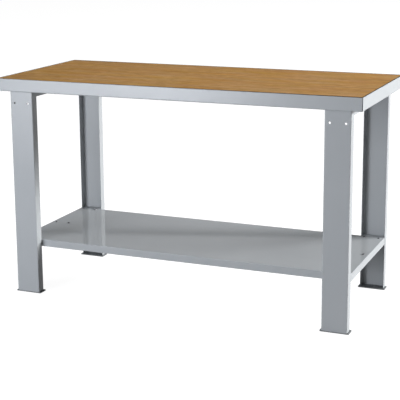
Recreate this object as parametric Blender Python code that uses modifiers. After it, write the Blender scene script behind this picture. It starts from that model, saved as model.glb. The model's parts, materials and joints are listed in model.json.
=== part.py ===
"""Workbench: a wooden board inlaid in a folded steel rim, on two welded leg frames with a lower shelf.

Metres, +Z up, +X along the bench, -Y towards the person who works at it. The origin is on the floor,
under the middle of the worktop. Every sheet-metal piece is drawn as the middle line of its section, with an
arc at each fold, drawn out to its length and thickened into sheet, then mitred, notched and drilled.
"""

import math

import bmesh
import bpy
from mathutils import Matrix, Vector

MM = 0.001
COLLECTION = "workbench"

# Worktop
BENCH_LENGTH = 1500 * MM
BENCH_DEPTH = 650 * MM
BENCH_HEIGHT = 890 * MM
RIM_HEIGHT = 50 * MM
RIM_SHEET = 2 * MM
RIM_FLANGE = 60 * MM  # width of the flange that turns inwards under the rim
RIM_BEND = 2 * MM  # inner radius of the fold between web and flange
HEM_DROP = 12 * MM  # how far the top edge is folded back down inside
HEM_SLIT = 0.4 * MM  # between the two leaves of the folded edge
BOARD_THICKNESS = 30 * MM
BOARD_CLEARANCE = 1 * MM  # between board and rim, all round
BOARD_SINK = 0.6 * MM  # the rim stands this much proud of the board
BOARD_EDGE_RADIUS = 1 * MM

# Hat-section cross members that carry the board
CROSS_SHEET = 2 * MM
CROSS_TOP = 50 * MM
CROSS_FOOT = 20 * MM
CROSS_BEND = 2 * MM
CROSS_END_MARGIN = 12 * MM  # between the outer cross members and the leg frames
INNER_CROSS_SHARE = 0.4  # place of the inner pair, as a share of the outer pair's

# Legs
LEG_WIDTH = 100 * MM
LEG_FLANGE = 35 * MM
LEG_SHEET = 2 * MM
LEG_BEND = 2 * MM
LEG_SIDE_INSET = 48 * MM  # from the rim's end to the leg's outer flange
FRONT_LEG_SETBACK = 33 * MM  # from the rim's front to the web of the front legs
REAR_LEG_SETBACK = 15 * MM  # from the rim's back to the web of the rear legs
HOLE_EDGE = 20 * MM  # from the side of a leg to the centre line of a row of holes
LEG_HOLE_DROP = 51 * MM  # from the rim's lower edge to the holes in the leg's web
LEG_HOLE_RADIUS = 4.25 * MM

# Foot plates
FOOT_THICKNESS = 4 * MM
FOOT_SIDE_OVERHANG = 6.5 * MM
FOOT_END_OVERHANG = 10 * MM
FOOT_CORNER_RADIUS = 4 * MM
ANCHOR_HOLE_RADIUS = 5 * MM

# Bearers: channels that tie a front leg to a rear leg, at the worktop and at the shelf
BEARER_SHEET = 2 * MM
BEARER_BEND = 2 * MM
TOP_BEARER_DEPTH = 26 * MM

# Shelf
SHELF_TOP = 222 * MM
SHELF_LIP = 30 * MM
SHELF_RETURN = 12 * MM  # flange turned inwards along the lower edge of the lip
SHELF_SHEET = 1.5 * MM
SHELF_BEND = 2.5 * MM  # outer radius of the folds
SHELF_CLEARANCE = 2 * MM  # from the flanges of the legs to the lips of the shelf
NOTCH_CLEARANCE = 0.6 * MM  # round a bearer, where it passes through a lip
SHELF_SCREW_EDGE = 20 * MM  # from the shelf's front and back edges to the outer rows of screws
STIFFENER_SHEET = 1.5 * MM
STIFFENER_WIDTH = 40 * MM
STIFFENER_FOOT = 15 * MM
STIFFENER_BEND = 2 * MM
STIFFENER_FLOOR_CLEARANCE = 3 * MM  # the stiffener ends this much above the lower edge of the lip
STIFFENER_END_CLEARANCE = 0.6 * MM

# Fasteners
BOLT_RADIUS = 4 * MM
BOLT_LENGTH = 16 * MM
BOLT_HEAD_ACROSS_FLATS = 13 * MM
BOLT_HEAD_HEIGHT = 5.3 * MM
NUT_HEIGHT = 6.5 * MM
SHELF_SCREW_RADIUS = 3 * MM
SHELF_SCREW_LENGTH = 14 * MM
SHELF_SCREW_HEAD_RADIUS = 5.5 * MM
SHELF_SCREW_HEAD_HEIGHT = 3.2 * MM
WOOD_SCREW_RADIUS = 2.25 * MM
WOOD_SCREW_BITE = 20 * MM  # length in the board
WOOD_SCREW_HEAD_RADIUS = 4.5 * MM
WOOD_SCREW_HEAD_HEIGHT = 3 * MM
WOOD_SCREW_ROW = 170 * MM  # from the middle of a cross member to its two screws

# Allowances
GAP = 0.3 * MM  # between pieces that touch
HOLE_CLEARANCE = 0.4 * MM  # round a shank, on the radius
OVERRUN = 5 * MM  # how far a cutter passes the face that it cuts

# Facets
FOLD_STEPS = 4
HOLE_SIDES = 16
FASTENER_SIDES = 12
DOME_STEPS = 3
HEX_SIDES = 6
SHARP_ANGLE = math.radians(30)

# Colours as linear red, green and blue, with roughness and metallic value
PAINT = ((0.42, 0.44, 0.47), 0.3, 0.0)
PAINT_DARK = ((0.16, 0.17, 0.18), 0.45, 0.0)
WOOD = ((0.41, 0.2, 0.065), 0.55, 0.0)
ZINC = ((0.55, 0.56, 0.57), 0.35, 1.0)
BLACKENED = ((0.06, 0.06, 0.065), 0.4, 1.0)

# Places that several pieces share
RIM_BOTTOM = BENCH_HEIGHT - RIM_HEIGHT
LEG_OUTER_X = BENCH_LENGTH / 2 - LEG_SIDE_INSET
LEG_X = LEG_OUTER_X - LEG_WIDTH / 2
FRONT_WEB_Y = -BENCH_DEPTH / 2 + FRONT_LEG_SETBACK
REAR_WEB_Y = BENCH_DEPTH / 2 - REAR_LEG_SETBACK
HOLE_OFFSET = LEG_WIDTH / 2 - HOLE_EDGE
FOOT_TOP = FOOT_THICKNESS + GAP
LEG_TOP = RIM_BOTTOM - GAP

SHELF_FRONT_Y = FRONT_WEB_Y + LEG_FLANGE + SHELF_CLEARANCE
SHELF_BACK_Y = REAR_WEB_Y - LEG_FLANGE - SHELF_CLEARANCE
SHELF_MIDDLE_Y = (SHELF_FRONT_Y + SHELF_BACK_Y) / 2
SHELF_UNDERSIDE = SHELF_TOP - SHELF_SHEET

BEARER_WIDTH = LEG_WIDTH - 2 * LEG_SHEET - 2 * GAP
BEARER_END_GAP = LEG_SHEET + LEG_BEND + GAP  # keeps the ends clear of the folds of the legs
BEARER_FRONT_Y = FRONT_WEB_Y + BEARER_END_GAP
BEARER_BACK_Y = REAR_WEB_Y - BEARER_END_GAP
TOP_BEARER_TOP = RIM_BOTTOM - GAP
SHELF_BEARER_TOP = SHELF_UNDERSIDE - GAP
SHELF_BEARER_DEPTH = SHELF_LIP - 2 * SHELF_SHEET - 2 * GAP

BOARD_TOP = BENCH_HEIGHT - BOARD_SINK
BOARD_BOTTOM = BOARD_TOP - BOARD_THICKNESS
RIM_FLANGE_TOP = RIM_BOTTOM + RIM_SHEET
CROSS_BOTTOM = RIM_FLANGE_TOP + GAP
CROSS_HEIGHT = BOARD_BOTTOM - GAP - CROSS_BOTTOM
CROSS_WIDTH = CROSS_TOP + 2 * CROSS_FOOT
OUTER_CROSS_X = LEG_X - LEG_WIDTH / 2 - CROSS_END_MARGIN - CROSS_WIDTH / 2

# The top bolts stand midway between the web of the leg and the edge of the rim's flange.
FRONT_BOLT_Y = -BENCH_DEPTH / 2 + (FRONT_LEG_SETBACK + LEG_SHEET + RIM_FLANGE) / 2
REAR_BOLT_Y = BENCH_DEPTH / 2 - (REAR_LEG_SETBACK + LEG_SHEET + RIM_FLANGE) / 2

SIDES = {"left": -1, "right": 1}
COLUMNS = {"outer": 1, "inner": -1}  # holes nearer to the end of the bench, or to its middle


# Scene and materials


def clear_scene():
    for obj in list(bpy.data.objects):
        bpy.data.objects.remove(obj)


def new_collection(name):
    collection = bpy.data.collections.new(name)
    bpy.context.scene.collection.children.link(collection)
    return collection


def new_material(name, finish):
    colour, roughness, metallic = finish
    material = bpy.data.materials.new(name)
    material.use_nodes = True
    material.diffuse_color = (*colour, 1)
    shader = material.node_tree.nodes["Principled BSDF"]
    shader.inputs["Base Color"].default_value = (*colour, 1)
    shader.inputs["Roughness"].default_value = roughness
    shader.inputs["Metallic"].default_value = metallic
    return material


def new_part(name, mesh, material):
    """A sub-part of the bench, under the empty that carries them all."""
    part = bpy.data.objects.new(name, mesh)
    mesh.materials.clear()
    mesh.materials.append(material)
    PARTS.objects.link(part)
    part.parent = BENCH
    return part


def new_cutter(name, mesh):
    cutter = bpy.data.objects.new(name, mesh)
    cutter.hide_render = True
    cutter.display_type = "WIRE"
    CUTTERS.objects.link(cutter)
    return cutter


# Outlines


def fillet(before, corner, after, radius):
    """Points of the arc that rounds the corner of a path."""
    back = (before - corner).normalized()
    onward = (after - corner).normalized()
    half_angle = back.angle(onward) / 2
    start = corner + back * (radius / math.tan(half_angle))
    end = corner + onward * (radius / math.tan(half_angle))
    centre = corner + (back + onward).normalized() * (radius / math.sin(half_angle))
    spoke = start - centre
    other_spoke = end - centre
    turn = math.atan2(spoke.x * other_spoke.y - spoke.y * other_spoke.x, spoke.dot(other_spoke))
    steps = range(FOLD_STEPS + 1)
    return [centre + Matrix.Rotation(turn * step / FOLD_STEPS, 2) @ spoke for step in steps]


def folded_path(ends, folds):
    """A path from one end to the other, round folds given as (x, y, radius)."""
    first, last = (Vector(end) for end in ends)
    corners = [first, *(Vector(fold[:2]) for fold in folds), last]
    path = [first]
    for index, fold in enumerate(folds):
        path += fillet(corners[index], corners[index + 1], corners[index + 2], fold[2])
    return [*path, last]


def rounded_rectangle(width, depth, radius):
    corners = [
        Vector((x * width / 2, y * depth / 2)) for x, y in ((-1, -1), (1, -1), (1, 1), (-1, 1))
    ]
    outline = []
    for index, corner in enumerate(corners):
        outline += fillet(corners[index - 1], corner, corners[(index + 1) % len(corners)], radius)
    return outline


def mesh_from_outline(name, points, length, closed):
    """The outline drawn out along Z, to half the length each way."""
    curve = bpy.data.curves.new(name, "CURVE")
    curve.dimensions = "2D"
    curve.fill_mode = "BOTH" if closed else "NONE"
    curve.extrude = length / 2
    spline = curve.splines.new("POLY")
    spline.points.add(len(points) - 1)
    for point, place in zip(spline.points, points):
        point.co = (place.x, place.y, 0, 1)
    spline.use_cyclic_u = closed
    guide = bpy.data.objects.new(name + "_outline", curve)
    bpy.context.scene.collection.objects.link(guide)
    evaluated = guide.evaluated_get(bpy.context.evaluated_depsgraph_get())
    mesh = bpy.data.meshes.new_from_object(evaluated)
    mesh.name = name
    bpy.data.objects.remove(guide)
    bpy.data.curves.remove(curve)
    shape = bmesh.new()
    shape.from_mesh(mesh)
    bmesh.ops.remove_doubles(shape, verts=shape.verts, dist=GAP / 100)
    shape.to_mesh(mesh)
    shape.free()
    return mesh


def soften(mesh):
    mesh.shade_smooth()
    mesh.set_sharp_from_angle(angle=SHARP_ANGLE)


def folded_sheet(name, path, length, thickness, material):
    """A sheet-metal profile, from the middle line of its section."""
    mesh = mesh_from_outline(name, path, length, closed=False)
    soften(mesh)
    part = new_part(name, mesh, material)
    sheet = part.modifiers.new("Sheet thickness", "SOLIDIFY")
    sheet.thickness = thickness
    sheet.offset = 0
    sheet.use_even_offset = True
    return part


# Cutting


def cylinder_into(shape, centre, axis, radius, length):
    turn = Vector((0, 0, 1)).rotation_difference(axis).to_matrix().to_4x4()
    bmesh.ops.create_cone(
        shape,
        cap_ends=True,
        segments=HOLE_SIDES,
        radius1=radius,
        radius2=radius,
        depth=length,
        matrix=Matrix.Translation(centre) @ turn,
    )


def cut(part, name, shape):
    mesh = bpy.data.meshes.new(name)
    shape.to_mesh(mesh)
    shape.free()
    boolean = part.modifiers.new(name, "BOOLEAN")
    boolean.operation = "DIFFERENCE"
    boolean.solver = "EXACT"
    boolean.object = new_cutter(part.name + "_" + name, mesh)


def drill(part, centres, axis, radius, length):
    """Round holes, each centred on its point."""
    shape = bmesh.new()
    for centre in centres:
        cylinder_into(shape, Vector(centre), Vector(axis), radius, length)
    cut(part, "holes", shape)


def box_into(shape, low, high):
    size = Vector(high) - Vector(low)
    middle = (Vector(high) + Vector(low)) / 2
    bmesh.ops.create_cube(shape, size=1, matrix=Matrix.LocRotScale(middle, None, size))


# Worktop


def rim_path():
    """Section of a rim rail: x runs inwards from its outer face, y up from its lower face."""
    middle = RIM_SHEET / 2
    leaf = RIM_SHEET + HEM_SLIT
    bend = RIM_BEND + middle
    top = RIM_HEIGHT - middle
    ends = ((RIM_FLANGE, middle), (middle + leaf, RIM_HEIGHT - HEM_DROP))
    folds = ((middle, middle, bend), (middle, top, leaf / 2), (middle + leaf, top, leaf / 2))
    return folded_path(ends, folds)


def mitre(rail, half_length):
    """Cuts both ends of a rail at 45 degrees, half a gap short of the corner's diagonal."""
    reach = RIM_FLANGE + OVERRUN
    shape = bmesh.new()
    for end in SIDES.values():
        corner = Vector((0, RIM_HEIGHT / 2, end * half_length))
        slope = Matrix.Rotation(math.radians(45) * end, 4, "Y")
        size = Vector((4 * reach, RIM_HEIGHT + 2 * OVERRUN, 2 * reach))
        beyond = Vector((0, 0, end * (reach - GAP / 2)))
        place = Matrix.Translation(corner) @ slope @ Matrix.Translation(beyond)
        bmesh.ops.create_cube(shape, size=1, matrix=place @ Matrix.Diagonal((*size, 1)))
    shape.transform(rail.matrix_basis)
    cut(rail, "mitres", shape)


def rim_rail(name, length, heading, outer_middle):
    """A rail whose section stands on its outer lower edge and faces inwards."""
    rail = folded_sheet(name, rim_path(), length, RIM_SHEET, RIM_PAINT)
    rail.location = (*outer_middle, RIM_BOTTOM)
    rail.rotation_euler = (math.radians(90), 0, math.radians(heading))
    mitre(rail, length / 2)
    return rail


def bolt_columns():
    """X of the two rows of holes over each leg frame, with their names."""
    for side, sign in SIDES.items():
        for column, offset in COLUMNS.items():
            yield side + "_" + column, sign * (LEG_X + offset * HOLE_OFFSET)


def build_rim():
    front = rim_rail("rim_rail_front", BENCH_LENGTH, 90, (0, -BENCH_DEPTH / 2))
    back = rim_rail("rim_rail_back", BENCH_LENGTH, 270, (0, BENCH_DEPTH / 2))
    rim_rail("rim_rail_left", BENCH_DEPTH, 0, (-BENCH_LENGTH / 2, 0))
    rim_rail("rim_rail_right", BENCH_DEPTH, 180, (BENCH_LENGTH / 2, 0))
    for rail, y in ((front, FRONT_BOLT_Y), (back, REAR_BOLT_Y)):
        centres = [(x, y, RIM_BOTTOM + RIM_SHEET / 2) for _, x in bolt_columns()]
        length = RIM_SHEET + 2 * OVERRUN
        drill(rail, centres, (0, 0, 1), BOLT_RADIUS + HOLE_CLEARANCE, length)


def cross_members():
    """Name and X of each hat section under the board."""
    for side, sign in SIDES.items():
        yield "outer_" + side, sign * OUTER_CROSS_X
        yield "inner_" + side, sign * OUTER_CROSS_X * INNER_CROSS_SHARE


def hat_path(foot, width, height, thickness, bend):
    """Section of a hat: feet at y = 0, top at y = height, both as outer faces."""
    middle = thickness / 2
    radius = bend + middle
    half = width / 2 - middle
    toe = width / 2 + foot
    top = height - middle
    ends = ((-toe, middle), (toe, middle))
    folds = ((-half, middle), (-half, top), (half, top), (half, middle))
    return folded_path(ends, [(x, y, radius) for x, y in folds])


def build_cross_members():
    path = hat_path(CROSS_FOOT, CROSS_TOP, CROSS_HEIGHT, CROSS_SHEET, CROSS_BEND)
    length = BENCH_DEPTH - 2 * (RIM_SHEET + RIM_BEND + GAP)
    for place, x in cross_members():
        name = "worktop_cross_member_" + place
        member = folded_sheet(name, path, length, CROSS_SHEET, RIM_PAINT)
        member.location = (x, 0, CROSS_BOTTOM)
        member.rotation_euler = (math.radians(90), 0, 0)
        centres = [(x, sign * WOOD_SCREW_ROW, CROSS_BOTTOM + CROSS_HEIGHT) for sign in (-1, 1)]
        length_cut = 2 * (CROSS_SHEET + OVERRUN)
        drill(member, centres, (0, 0, 1), WOOD_SCREW_RADIUS + HOLE_CLEARANCE, length_cut)


def build_board():
    inset = 2 * RIM_SHEET + HEM_SLIT + BOARD_CLEARANCE
    half_x = BENCH_LENGTH / 2 - inset
    half_y = BENCH_DEPTH / 2 - inset
    shape = bmesh.new()
    box_into(shape, (-half_x, -half_y, BOARD_BOTTOM), (half_x, half_y, BOARD_TOP))
    mesh = bpy.data.meshes.new("worktop_board")
    shape.to_mesh(mesh)
    shape.free()
    board = new_part("worktop_board", mesh, BOARD_WOOD)
    edges = board.modifiers.new("Eased edges", "BEVEL")
    edges.width = BOARD_EDGE_RADIUS
    edges.segments = 2
    depth = WOOD_SCREW_BITE + GAP
    centres = []
    for _, x in cross_members():
        centres += [(x, sign * WOOD_SCREW_ROW, BOARD_BOTTOM) for sign in (-1, 1)]
    drill(board, centres, (0, 0, 1), WOOD_SCREW_RADIUS + HOLE_CLEARANCE, 2 * depth)


# Leg frames


def leg_path():
    """Section of a leg: the outer face of its web on y = 0, its flanges towards +Y."""
    middle = LEG_SHEET / 2
    half = LEG_WIDTH / 2 - middle
    bend = LEG_BEND + middle
    ends = ((-half, LEG_FLANGE), (half, LEG_FLANGE))
    return folded_path(ends, ((-half, middle, bend), (half, middle, bend)))


def build_leg(name, x, web_y, heading):
    leg = folded_sheet("leg_" + name, leg_path(), LEG_TOP - FOOT_TOP, LEG_SHEET, LEG_PAINT)
    leg.location = (x, web_y, (LEG_TOP + FOOT_TOP) / 2)
    leg.rotation_euler = (0, 0, math.radians(heading))
    return leg


def build_front_leg(name, x):
    """A front leg also has two holes in its web, where accessories are bolted on."""
    leg = build_leg(name, x, FRONT_WEB_Y, 0)
    height = RIM_BOTTOM - LEG_HOLE_DROP
    holes = [(x + sign * HOLE_OFFSET, FRONT_WEB_Y, height) for sign in (-1, 1)]
    drill(leg, holes, (0, 1, 0), LEG_HOLE_RADIUS, 2 * (LEG_SHEET + OVERRUN))


def build_foot_plate(name, x, web_y, inwards):
    """A plate under a leg, flush with the web and proud of the flanges on the other sides."""
    width = LEG_WIDTH + 2 * FOOT_SIDE_OVERHANG
    depth = LEG_FLANGE + FOOT_END_OVERHANG
    outline = rounded_rectangle(width, depth, FOOT_CORNER_RADIUS)
    mesh = mesh_from_outline("foot_plate_" + name, outline, FOOT_THICKNESS, closed=True)
    plate = new_part("foot_plate_" + name, mesh, FOOT_PAINT)
    plate.location = (x, web_y + inwards * depth / 2, FOOT_THICKNESS / 2)
    anchor = (x, web_y + inwards * depth / 2, FOOT_THICKNESS / 2)
    drill(plate, [anchor], (0, 0, 1), ANCHOR_HOLE_RADIUS, FOOT_THICKNESS + 2 * OVERRUN)


def build_legs():
    for side, sign in SIDES.items():
        x = sign * LEG_X
        build_front_leg("front_" + side, x)
        build_leg("rear_" + side, x, REAR_WEB_Y, 180)
        build_foot_plate("front_" + side, x, FRONT_WEB_Y, 1)
        build_foot_plate("rear_" + side, x, REAR_WEB_Y, -1)


def bearer_path(depth):
    """Section of a channel that is open below: its top face on y = 0."""
    middle = BEARER_SHEET / 2
    half = BEARER_WIDTH / 2 - middle
    bend = BEARER_BEND + middle
    ends = ((-half, -depth), (half, -depth))
    return folded_path(ends, ((-half, -middle, bend), (half, -middle, bend)))


def bearer(name, x, top, depth):
    length = BEARER_BACK_Y - BEARER_FRONT_Y
    part = folded_sheet(name, bearer_path(depth), length, BEARER_SHEET, LEG_PAINT)
    part.location = (x, (BEARER_FRONT_Y + BEARER_BACK_Y) / 2, top)
    part.rotation_euler = (math.radians(90), 0, 0)
    return part


def shelf_rows():
    """Y of each row of shelf screws, with its name."""
    yield "front", SHELF_FRONT_Y + SHELF_SCREW_EDGE
    yield "middle", SHELF_MIDDLE_Y
    yield "rear", SHELF_BACK_Y - SHELF_SCREW_EDGE


def build_bearers():
    through = 2 * (BEARER_SHEET + OVERRUN)
    for side, sign in SIDES.items():
        columns = [sign * (LEG_X + offset * HOLE_OFFSET) for offset in COLUMNS.values()]
        top = bearer("top_bearer_" + side, sign * LEG_X, TOP_BEARER_TOP, TOP_BEARER_DEPTH)
        bolts = [(x, y, TOP_BEARER_TOP) for x in columns for y in (FRONT_BOLT_Y, REAR_BOLT_Y)]
        drill(top, bolts, (0, 0, 1), BOLT_RADIUS + HOLE_CLEARANCE, through)
        low = bearer("shelf_bearer_" + side, sign * LEG_X, SHELF_BEARER_TOP, SHELF_BEARER_DEPTH)
        screws = [(x, y, SHELF_BEARER_TOP) for x in columns for _, y in shelf_rows()]
        drill(low, screws, (0, 0, 1), SHELF_SCREW_RADIUS + HOLE_CLEARANCE, through)


# Shelf


def tray_mesh():
    """Outer faces of the shelf: its top, its lips and the flange that turns in below."""
    shape = bmesh.new()
    low = (-LEG_OUTER_X, SHELF_FRONT_Y, SHELF_TOP - SHELF_LIP)
    high = (LEG_OUTER_X, SHELF_BACK_Y, SHELF_TOP)
    box_into(shape, low, high)
    floor = min(shape.faces, key=lambda face: face.calc_center_median().z)
    bmesh.ops.inset_individual(shape, faces=[floor], thickness=SHELF_RETURN)
    bmesh.ops.delete(shape, geom=[floor], context="FACES")
    mesh = bpy.data.meshes.new("shelf_tray")
    shape.to_mesh(mesh)
    shape.free()
    return mesh


def notch_lips(tray):
    """Opens the front and back lips where the bearers pass into the legs."""
    half = BEARER_WIDTH / 2 + NOTCH_CLEARANCE
    shape = bmesh.new()
    for sign in SIDES.values():
        for y, outwards in ((SHELF_FRONT_Y, -1), (SHELF_BACK_Y, 1)):
            inner = y - outwards * (SHELF_RETURN + OVERRUN)
            outer = y + outwards * OVERRUN
            low = (sign * LEG_X - half, min(inner, outer), SHELF_TOP - SHELF_LIP - OVERRUN)
            high = (sign * LEG_X + half, max(inner, outer), SHELF_UNDERSIDE)
            box_into(shape, low, high)
    cut(tray, "notches", shape)


def build_shelf():
    tray = new_part("shelf_tray", tray_mesh(), SHELF_PAINT)
    folds = tray.modifiers.new("Folds", "BEVEL")
    folds.width = SHELF_BEND
    folds.segments = FOLD_STEPS
    sheet = tray.modifiers.new("Sheet thickness", "SOLIDIFY")
    sheet.thickness = SHELF_SHEET
    sheet.offset = -1
    sheet.use_even_offset = True
    notch_lips(tray)
    holes = [(x, y, SHELF_TOP) for _, x in bolt_columns() for _, y in shelf_rows()]
    through = 2 * (SHELF_SHEET + OVERRUN)
    drill(tray, holes, (0, 0, 1), SHELF_SCREW_RADIUS + HOLE_CLEARANCE, through)


def build_stiffener():
    """A hat section along the middle of the shelf, with its feet against the underside."""
    height = SHELF_LIP - SHELF_SHEET - GAP - STIFFENER_FLOOR_CLEARANCE
    path = hat_path(STIFFENER_FOOT, STIFFENER_WIDTH, height, STIFFENER_SHEET, STIFFENER_BEND)
    length = 2 * (LEG_X - BEARER_WIDTH / 2 - STIFFENER_END_CLEARANCE)
    hat = folded_sheet("shelf_stiffener", path, length, STIFFENER_SHEET, SHELF_PAINT)
    hat.location = (0, SHELF_MIDDLE_Y, SHELF_UNDERSIDE - GAP)
    hat.rotation_euler = (math.radians(-90), 0, math.radians(90))


# Fasteners


def turned_mesh(name, profile):
    """A round piece from (radius, height) pairs that start and end on the axis, top first."""
    mesh = bpy.data.meshes.new(name + "_profile")
    shape = bmesh.new()
    verts = [shape.verts.new((radius, 0, height)) for radius, height in profile]
    for first, second in zip(verts, verts[1:]):
        shape.edges.new((first, second))
    shape.to_mesh(mesh)
    shape.free()
    guide = bpy.data.objects.new(name + "_profile", mesh)
    bpy.context.scene.collection.objects.link(guide)
    screw = guide.modifiers.new("Turn", "SCREW")
    screw.steps = FASTENER_SIDES
    screw.render_steps = FASTENER_SIDES
    screw.use_merge_vertices = True
    screw.merge_threshold = GAP / 100
    return applied_mesh(guide, name)


def applied_mesh(guide, name):
    """The guide's evaluated mesh, with the guide removed."""
    evaluated = guide.evaluated_get(bpy.context.evaluated_depsgraph_get())
    mesh = bpy.data.meshes.new_from_object(evaluated)
    mesh.name = name
    bpy.data.objects.remove(guide)
    soften(mesh)
    return mesh


def prism_mesh(name, across_flats, low, high):
    shape = bmesh.new()
    radius = across_flats / (2 * math.cos(math.pi / HEX_SIDES))
    bmesh.ops.create_cone(
        shape,
        cap_ends=True,
        segments=HEX_SIDES,
        radius1=radius,
        radius2=radius,
        depth=high - low,
        matrix=Matrix.Translation((0, 0, (low + high) / 2)),
    )
    mesh = bpy.data.meshes.new(name)
    shape.to_mesh(mesh)
    shape.free()
    return mesh


def combined_mesh(name, first, second, operation):
    """Two closed meshes joined, or the second cut from the first."""
    guide = bpy.data.objects.new(name + "_guide", first)
    other = new_cutter(name + "_tool", second)
    bpy.context.scene.collection.objects.link(guide)
    boolean = guide.modifiers.new("Combine", "BOOLEAN")
    boolean.operation = operation
    boolean.solver = "EXACT"
    boolean.object = other
    mesh = applied_mesh(guide, name)
    bpy.data.objects.remove(other)
    return mesh


def bolt_mesh():
    """A hexagon bolt with the underside of its head on z = 0 and its shank upwards."""
    head = prism_mesh("hex_head", BOLT_HEAD_ACROSS_FLATS, -BOLT_HEAD_HEIGHT, 0)
    point = BOLT_RADIUS / 4
    shank = turned_mesh(
        "bolt_shank",
        (
            (0, BOLT_LENGTH),
            (BOLT_RADIUS - point, BOLT_LENGTH),
            (BOLT_RADIUS, BOLT_LENGTH - point),
            (BOLT_RADIUS, -BOLT_HEAD_HEIGHT / 2),
            (0, -BOLT_HEAD_HEIGHT / 2),
        ),
    )
    return combined_mesh("hex_bolt", head, shank, "UNION")


def nut_mesh():
    body = prism_mesh("nut_body", BOLT_HEAD_ACROSS_FLATS, 0, NUT_HEIGHT)
    bore = BOLT_RADIUS + GAP
    hole = turned_mesh(
        "nut_bore",
        ((0, NUT_HEIGHT + OVERRUN), (bore, NUT_HEIGHT + OVERRUN), (bore, -OVERRUN), (0, -OVERRUN)),
    )
    return combined_mesh("hex_nut", body, hole, "DIFFERENCE")


def screw_mesh(name, radius, length, head_radius, head_height):
    """A screw with a domed head above z = 0 and its shank below."""
    dome = [
        (head_radius * math.sin(turn), head_height * math.cos(turn))
        for turn in (math.pi / 2 * step / DOME_STEPS for step in range(DOME_STEPS))
    ]
    tip = radius / 2
    shank = [(head_radius, 0), (radius, 0), (radius, tip - length), (radius - tip, -length)]
    return turned_mesh(name, [*dome, *shank, (0, -length)])


def place_copies(mesh, material, places, upside_down=False):
    for name, place in places:
        part = new_part(name, mesh, material)
        part.location = place
        part.rotation_euler = (math.pi if upside_down else 0, 0, 0)


def build_top_bolts():
    under = TOP_BEARER_TOP - BEARER_SHEET - GAP
    bolts = []
    nuts = []
    for column, x in bolt_columns():
        for row, y in (("front", FRONT_BOLT_Y), ("rear", REAR_BOLT_Y)):
            bolts.append((f"top_bolt_{row}_{column}", (x, y, under)))
            nuts.append((f"top_nut_{row}_{column}", (x, y, RIM_FLANGE_TOP + GAP)))
    place_copies(bolt_mesh(), BOLT_ZINC, bolts)
    place_copies(nut_mesh(), BOLT_ZINC, nuts)


def build_shelf_screws():
    mesh = screw_mesh(
        "shelf_screw",
        SHELF_SCREW_RADIUS,
        SHELF_SCREW_LENGTH,
        SHELF_SCREW_HEAD_RADIUS,
        SHELF_SCREW_HEAD_HEIGHT,
    )
    places = [
        (f"shelf_screw_{row}_{column}", (x, y, SHELF_TOP + GAP))
        for column, x in bolt_columns()
        for row, y in shelf_rows()
    ]
    place_copies(mesh, SCREW_BLACK, places)


def build_board_screws():
    under = CROSS_BOTTOM + CROSS_HEIGHT - CROSS_SHEET - GAP
    length = BOARD_BOTTOM - under + WOOD_SCREW_BITE
    mesh = screw_mesh(
        "board_screw", WOOD_SCREW_RADIUS, length, WOOD_SCREW_HEAD_RADIUS, WOOD_SCREW_HEAD_HEIGHT
    )
    places = [
        (f"board_screw_{row}_{place}", (x, sign * WOOD_SCREW_ROW, under))
        for place, x in cross_members()
        for row, sign in (("front", -1), ("rear", 1))
    ]
    place_copies(mesh, SCREW_ZINC, places, upside_down=True)


clear_scene()
PARTS = new_collection(COLLECTION)
CUTTERS = new_collection(COLLECTION + "_cutters")
BENCH = bpy.data.objects.new(COLLECTION + "_origin", None)
PARTS.objects.link(BENCH)

RIM_PAINT = new_material("rim_paint", PAINT)
LEG_PAINT = new_material("leg_paint", PAINT)
SHELF_PAINT = new_material("shelf_paint", PAINT)
FOOT_PAINT = new_material("foot_paint", PAINT_DARK)
BOARD_WOOD = new_material("board_wood", WOOD)
BOLT_ZINC = new_material("bolt_zinc", ZINC)
SCREW_ZINC = new_material("screw_zinc", ZINC)
SCREW_BLACK = new_material("screw_black", BLACKENED)

build_rim()
build_cross_members()
build_board()
build_legs()
build_bearers()
build_shelf()
build_stiffener()
build_top_bolts()
build_shelf_screws()
build_board_screws()
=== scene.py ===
# %% [markdown]
# # A steel workbench with a wooden top
#
# The solids of the bench are already made and packed: folded steel rails, legs, bearers and shelf, a wooden
# board and the bolts between them. This script dresses them. It softens the cut edges of the sheet, makes
# the fasteners and the welds, mixes the paint, the wood and the plated steel, and sets up a small studio
# round the bench.
#
# The first cell loads the solids. Every later piece takes its place from them, so no piece is placed by eye.

# %% Load the solids
import json
import math

import bmesh
import bpy
from mathutils import Matrix, Vector


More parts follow.
